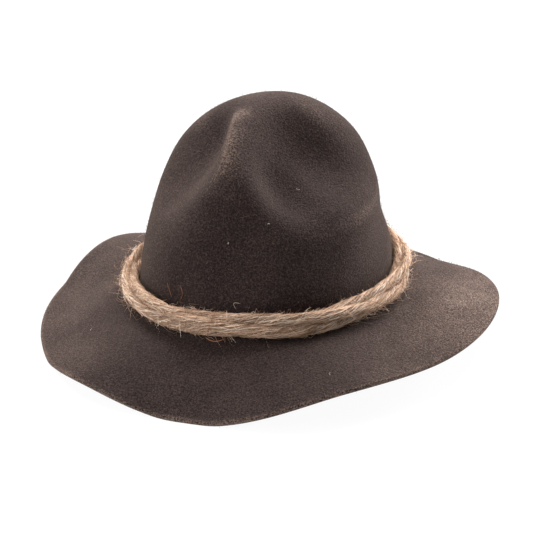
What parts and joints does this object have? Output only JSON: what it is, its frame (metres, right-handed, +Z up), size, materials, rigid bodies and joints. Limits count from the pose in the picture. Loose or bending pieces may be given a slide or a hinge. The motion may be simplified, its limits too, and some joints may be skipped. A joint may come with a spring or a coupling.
{
  "type": "alpine hat",
  "caption": "Brown felt alpine hat with a pinched crown, a wavy raw-edged brim and a twisted jute band round the foot of the crown.",
  "frame": {"origin": "under the middle of the hat, on the surface that the brim rests on", "axes": "+Z up through the crown, -Y towards the pinched front, +X towards the wearer's left"},
  "size_m": [0.3104, 0.334, 0.1502],
  "materials": {
    "felt": "brushed wool felt, matt with a soft nap",
    "jute": "hairy natural jute, matt"
  },
  "bodies": {
    "root": {"felt_hood": "felt", "jute_strand_1": "jute", "jute_strand_2": "jute", "jute_strand_3": "jute"}
  },
  "joints": []
}
